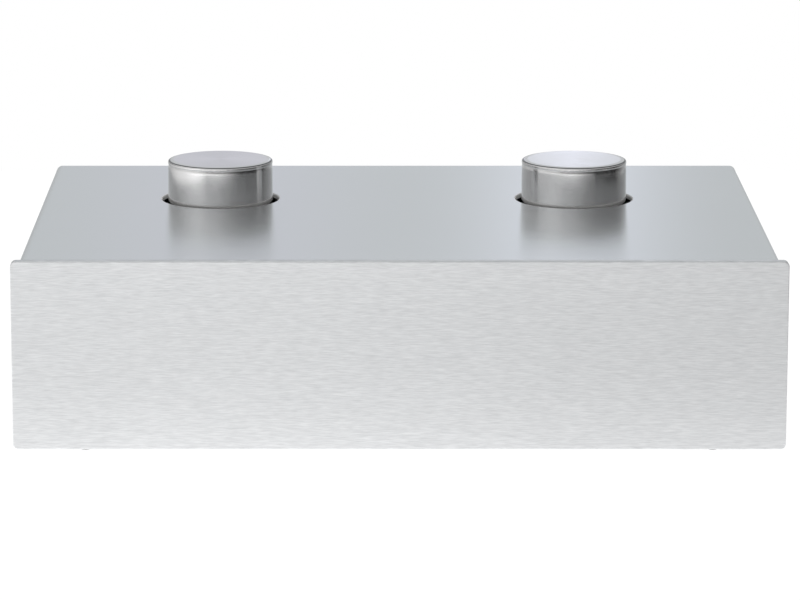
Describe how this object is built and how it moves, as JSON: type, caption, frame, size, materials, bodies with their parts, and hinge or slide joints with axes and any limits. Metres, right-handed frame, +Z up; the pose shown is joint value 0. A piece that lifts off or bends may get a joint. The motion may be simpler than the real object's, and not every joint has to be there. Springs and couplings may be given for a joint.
{
  "type": "moving coil step-up transformer box",
  "caption": "Low silver box with a brushed front panel, two polished transformer cans through its top, and phono, balanced and ground terminals behind.",
  "frame": {"origin": "on the floor, under the middle of the box's bounding box, rear sockets included", "axes": "+X to the right seen from the front, +Y to the rear sockets, +Z up; the front panel faces -Y"},
  "size_m": [0.206, 0.165, 0.0649],
  "materials": {
    "panel": "horizontally brushed, clear anodised",
    "cover": "satin silver",
    "tray": "satin silver",
    "can": "polished nickel",
    "screw": "nickel plated",
    "foot": "soft black",
    "board": "green solder mask",
    "spacer": "turned brass",
    "lamination": "stacked nickel iron",
    "bobbin": "moulded nylon",
    "copper": "enamelled copper wire",
    "phenolic": "phenolic",
    "gold": "gold plated",
    "insulator": "PTFE",
    "ring_red": "moulded red",
    "ring_white": "moulded white",
    "black_plastic": "moulded black",
    "nickel": "nickel plated",
    "lead": "insulated wire"
  },
  "bodies": {
    "case": {"balanced_inserts": "black_plastic", "balanced_nuts": "nickel", "balanced_pins": "gold", "balanced_shell_input": "nickel", "balanced_shell_output": "nickel", "base_tray": "tray", "board_screws": "screw", "board_standoffs": "spacer", "bobbin_left": "bobbin", "bobbin_right": "bobbin", "cover_screws": "screw", "foot_front_left": "foot", "foot_front_right": "foot", "foot_rear_left": "foot", "foot_rear_right": "foot", "front_panel": "panel", "ground_bushes": "black_plastic", "ground_nut": "nickel", "ground_post": "gold", "input_leads": "lead", "load_resistors": "phenolic", "main_board": "board", "output_leads": "lead", "panel_screws": "screw", "phono_contacts": "gold", "phono_insulator_input_left": "insulator", "phono_insulator_input_right": "insulator", "phono_insulator_output_left": "insulator", "phono_insulator_output_right": "insulator", "phono_nuts": "gold", "phono_rings_left": "ring_white", "phono_rings_right": "ring_red", "phono_shell_input_left": "gold", "phono_shell_input_right": "gold", "phono_shell_output_left": "gold", "phono_shell_output_right": "gold", "primary_winding_left": "copper", "primary_winding_right": "copper", "secondary_winding_left": "copper", "secondary_winding_right": "copper", "switch_leads": "lead", "terminal_base_left": "phenolic", "terminal_base_right": "phenolic", "terminal_pins": "spacer", "toggle_bushing_left": "nickel", "toggle_bushing_right": "nickel", "toggle_housing_left": "black_plastic", "toggle_housing_right": "black_plastic", "toggle_lugs": "spacer", "toggle_nuts": "nickel", "top_cover": "cover", "transformer_can_left": "can", "transformer_can_right": "can", "transformer_core_left": "lamination", "transformer_core_right": "lamination", "transformer_screws": "screw"},
    "toggle_left": {"toggle_lever_left": "nickel"},
    "toggle_right": {"toggle_lever_right": "nickel"},
    "clamp": {"clamp_washer": "gold"},
    "thumb": {"thumb_nut": "gold"}
  },
  "joints": [
    {"name": "ratio_switch_left", "type": "hinge", "parent": "case", "child": "toggle_left", "pos_m": [-0.025, 0.0715, 0.0294], "axis": [1, 0, 0], "range_deg": [0, 24]},
    {"name": "ratio_switch_right", "type": "hinge", "parent": "case", "child": "toggle_right", "pos_m": [0.025, 0.0715, 0.0294], "axis": [1, 0, 0], "range_deg": [0, 24]},
    {"name": "clamp_slide", "type": "slide", "parent": "case", "child": "clamp", "axis": [0, 1, 0], "range_m": [0, 0.0028]},
    {"name": "thumb_turn", "type": "hinge", "parent": "clamp", "child": "thumb", "pos_m": [0, 0.076, 0.0294], "axis": [0, 1, 0], "range_deg": [0, 1440]}
  ],
  "couplings": [
    {"joint": "thumb_turn", "follows": "clamp_slide", "rad_per_m": 8976}
  ]
}
